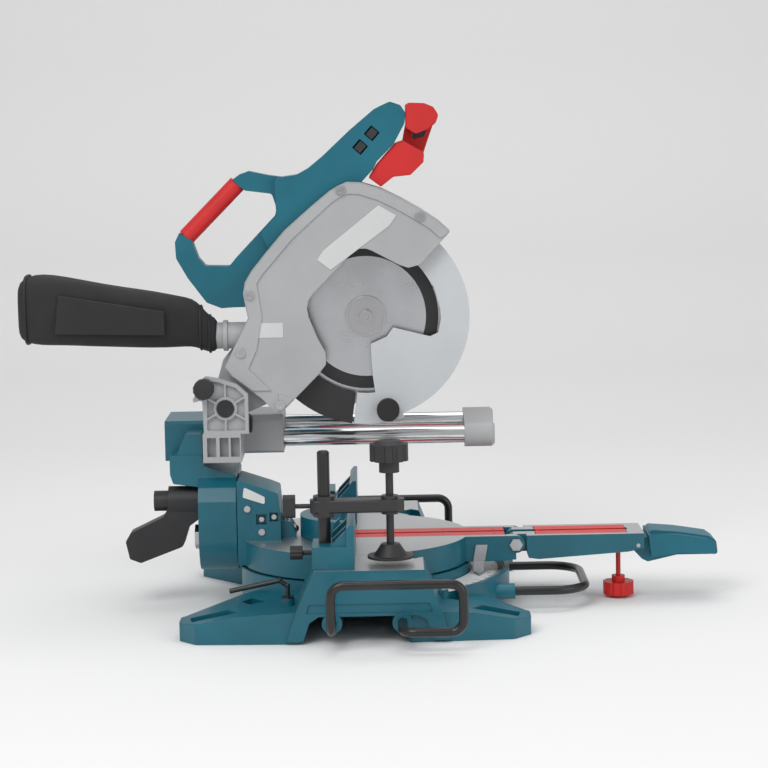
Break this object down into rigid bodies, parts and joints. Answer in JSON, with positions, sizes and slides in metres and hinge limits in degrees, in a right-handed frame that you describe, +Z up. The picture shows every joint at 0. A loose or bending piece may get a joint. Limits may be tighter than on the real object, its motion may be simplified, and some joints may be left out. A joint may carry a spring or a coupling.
{
  "type": "sliding compound mitre saw",
  "caption": "Bench saw with a turntable base, tilting arm, twin slide rails, hinged cutting head, guarded blade, fence, hold-down clamp, side supports and dust bag.",
  "frame": {"origin": "on the turntable axis at bench level, at the centre of the bench bolt pattern", "axes": "+X towards the operator, +Z up, +Y to the motor side"},
  "size_m": [0.9446, 0.652, 0.6856],
  "materials": {
    "blue_paint": "satin painted casting",
    "grey_paint": "satin light grey painted casting",
    "black_paint": "satin black paint",
    "steel": "plain machined steel",
    "rail_chrome": "ground and plated rail",
    "blade_steel": "ground steel plate",
    "black_rod": "black finished rod",
    "scale_plate": "white printed scale plate",
    "bronze": "bronze bush",
    "copper": "wound copper and iron",
    "black_plastic": "moulded black plastic",
    "blue_plastic": "moulded blue plastic",
    "grey_plastic": "moulded grey plastic",
    "guard_plastic": "moulded pale guard",
    "red_plastic": "moulded red plastic",
    "red_grip": "soft red grip",
    "rubber": "black rubber",
    "bag_fabric": "black woven mesh"
  },
  "bodies": {
    "base": {"base_casting": "blue_paint", "turntable_pivot_bolt": "steel", "mitre_scale": "scale_plate", "fence": "blue_paint", "front_bar": "black_rod", "bar_lock_screws": "steel", "hex_key": "black_rod", "clamp_post": "black_rod"},
    "side_bar_left": {"side_bar_left": "black_rod"},
    "side_bar_right": {"side_bar_right": "black_rod"},
    "upper_fence": {"upper_fence": "blue_paint"},
    "post_knob": {"post_knob": "black_plastic"},
    "clamp_arm": {"clamp_arm": "black_paint"},
    "clamp_wing_screw": {"clamp_wing_screw": "black_plastic"},
    "clamp_screw": {"clamp_spindle": "black_plastic", "clamp_pad": "black_plastic"},
    "turntable": {"turntable": "blue_paint", "kerf_boards": "red_plastic", "bevel_scale": "scale_plate", "turntable_bolts": "steel", "bevel_pivot_bolt": "steel"},
    "extension": {"arm_extension": "blue_paint", "extension_boards": "red_plastic", "lever_pin": "steel"},
    "foot_screw": {"foot_screw": "red_plastic"},
    "mitre_lever": {"mitre_lever": "blue_plastic"},
    "bevel": {"bevel_arm": "blue_paint", "slide_rails": "rail_chrome", "rail_cap": "grey_paint"},
    "bevel_lock_lever": {"bevel_lock_lever": "black_plastic"},
    "carriage": {"carriage": "grey_paint", "rail_bushes": "bronze", "pivot_pin": "black_rod", "carriage_bumper": "rubber"},
    "slide_lock_knob": {"slide_lock_knob": "black_plastic"},
    "transport_pin": {"transport_pin": "black_plastic"},
    "head": {"head_casting": "grey_paint", "upper_guard": "grey_paint", "guard_screws": "steel", "dust_boot": "black_plastic", "handle_shell_left": "blue_plastic", "handle_shell_right": "blue_plastic", "carry_grip": "red_grip", "main_grip": "red_grip", "motor_housing": "blue_plastic", "motor_end_cap": "black_plastic", "motor_stator": "copper", "bearings": "steel", "drive_belt": "rubber", "belt_cover": "black_plastic", "head_spring": "steel", "dust_chute": "grey_plastic", "dust_bag": "bag_fabric"},
    "trigger": {"trigger": "black_plastic"},
    "rocker_upper": {"rocker_upper": "black_plastic"},
    "rocker_lower": {"rocker_lower": "black_plastic"},
    "lower_guard": {"lower_guard": "guard_plastic"},
    "spindle": {"saw_blade": "blade_steel", "spindle": "steel"},
    "armature": {"armature": "copper"}
  },
  "joints": [
    {"name": "mitre", "type": "hinge", "parent": "base", "child": "turntable", "pos_m": [0, 0, 0.06], "axis": [0, 0, 1], "range_deg": [-45, 45]},
    {"name": "bevel", "type": "hinge", "parent": "turntable", "child": "bevel", "pos_m": [-0.16, 0, 0.095], "axis": [-1, 0, 0], "range_deg": [-45, 0]},
    {"name": "extension_fold", "type": "hinge", "parent": "turntable", "child": "extension", "pos_m": [0.219, 0, 0.083], "axis": [0, 1, 0], "range_deg": [-90, 0]},
    {"name": "foot_screw_turn", "type": "hinge", "parent": "extension", "child": "foot_screw", "pos_m": [0.362, 0, 0.02], "axis": [0, 0, 1], "continuous": true},
    {"name": "mitre_lever_lift", "type": "hinge", "parent": "extension", "child": "mitre_lever", "pos_m": [0.386, 0, 0.078], "axis": [0, -1, 0], "range_deg": [0, 5]},
    {"name": "bevel_lock", "type": "hinge", "parent": "bevel", "child": "bevel_lock_lever", "pos_m": [-0.235, 0, 0.146], "axis": [1, 0, 0], "range_deg": [-20, 20]},
    {"name": "slide", "type": "slide", "parent": "bevel", "child": "carriage", "axis": [1, 0, 0], "range_m": [0, 0.24]},
    {"name": "slide_lock", "type": "hinge", "parent": "carriage", "child": "slide_lock_knob", "pos_m": [-0.15, 0.14, 0.228], "axis": [0, 1, 0], "continuous": true},
    {"name": "transport_pin_pull", "type": "slide", "parent": "carriage", "child": "transport_pin", "axis": [0, -1, 0], "range_m": [0, 0.01]},
    {"name": "chop", "type": "hinge", "parent": "carriage", "child": "head", "pos_m": [-0.172, 0, 0.278], "axis": [0, 1, 0], "range_deg": [0, 48]},
    {"name": "guard_open", "type": "hinge", "parent": "head", "child": "lower_guard", "pos_m": [0.02, 0, 0.396], "axis": [0, -1, 0], "range_deg": [0, 110]},
    {"name": "blade_spin", "type": "hinge", "parent": "head", "child": "spindle", "pos_m": [0.02, 0, 0.396], "axis": [0, 1, 0], "continuous": true},
    {"name": "motor_spin", "type": "hinge", "parent": "head", "child": "armature", "pos_m": [-0.07, 0, 0.47], "axis": [0, 1, 0], "continuous": true},
    {"name": "trigger_pull", "type": "slide", "parent": "head", "child": "trigger", "axis": [0, 0, 1], "range_m": [0, 0.008]},
    {"name": "rocker_upper_tilt", "type": "hinge", "parent": "head", "child": "rocker_upper", "pos_m": [0.033, -0.0185, 0.644], "axis": [0.6691, 0, 0.7431], "range_deg": [-8, 8]},
    {"name": "rocker_lower_tilt", "type": "hinge", "parent": "head", "child": "rocker_lower", "pos_m": [0.017, -0.0185, 0.626], "axis": [0.6691, 0, 0.7431], "range_deg": [-8, 8]},
    {"name": "side_bar_left_pull", "type": "slide", "parent": "base", "child": "side_bar_left", "axis": [0, -1, 0], "range_m": [0, 0.08]},
    {"name": "side_bar_right_pull", "type": "slide", "parent": "base", "child": "side_bar_right", "axis": [0, 1, 0], "range_m": [0, 0.08]},
    {"name": "upper_fence_slide", "type": "slide", "parent": "base", "child": "upper_fence", "axis": [0, 1, 0], "range_m": [0, 0.06]},
    {"name": "post_knob_turn", "type": "hinge", "parent": "base", "child": "post_knob", "pos_m": [-0.07, -0.215, 0.111], "axis": [1, 0, 0], "continuous": true},
    {"name": "clamp_swing", "type": "hinge", "parent": "base", "child": "clamp_arm", "pos_m": [-0.037, -0.215, 0.17], "axis": [0, 0, 1], "range_deg": [-60, 0]},
    {"name": "clamp_wing_turn", "type": "hinge", "parent": "clamp_arm", "child": "clamp_wing_screw", "pos_m": [-0.07, -0.215, 0.1715], "axis": [1, 0, 0], "continuous": true},
    {"name": "clamp_press", "type": "slide", "parent": "clamp_arm", "child": "clamp_screw", "axis": [0, 0, 1], "range_m": [-0.0075, 0.03]}
  ],
  "couplings": [
    {"joint": "guard_open", "follows": "chop", "ratio": 2.29},
    {"joint": "motor_spin", "follows": "blade_spin", "ratio": 1.4667}
  ]
}
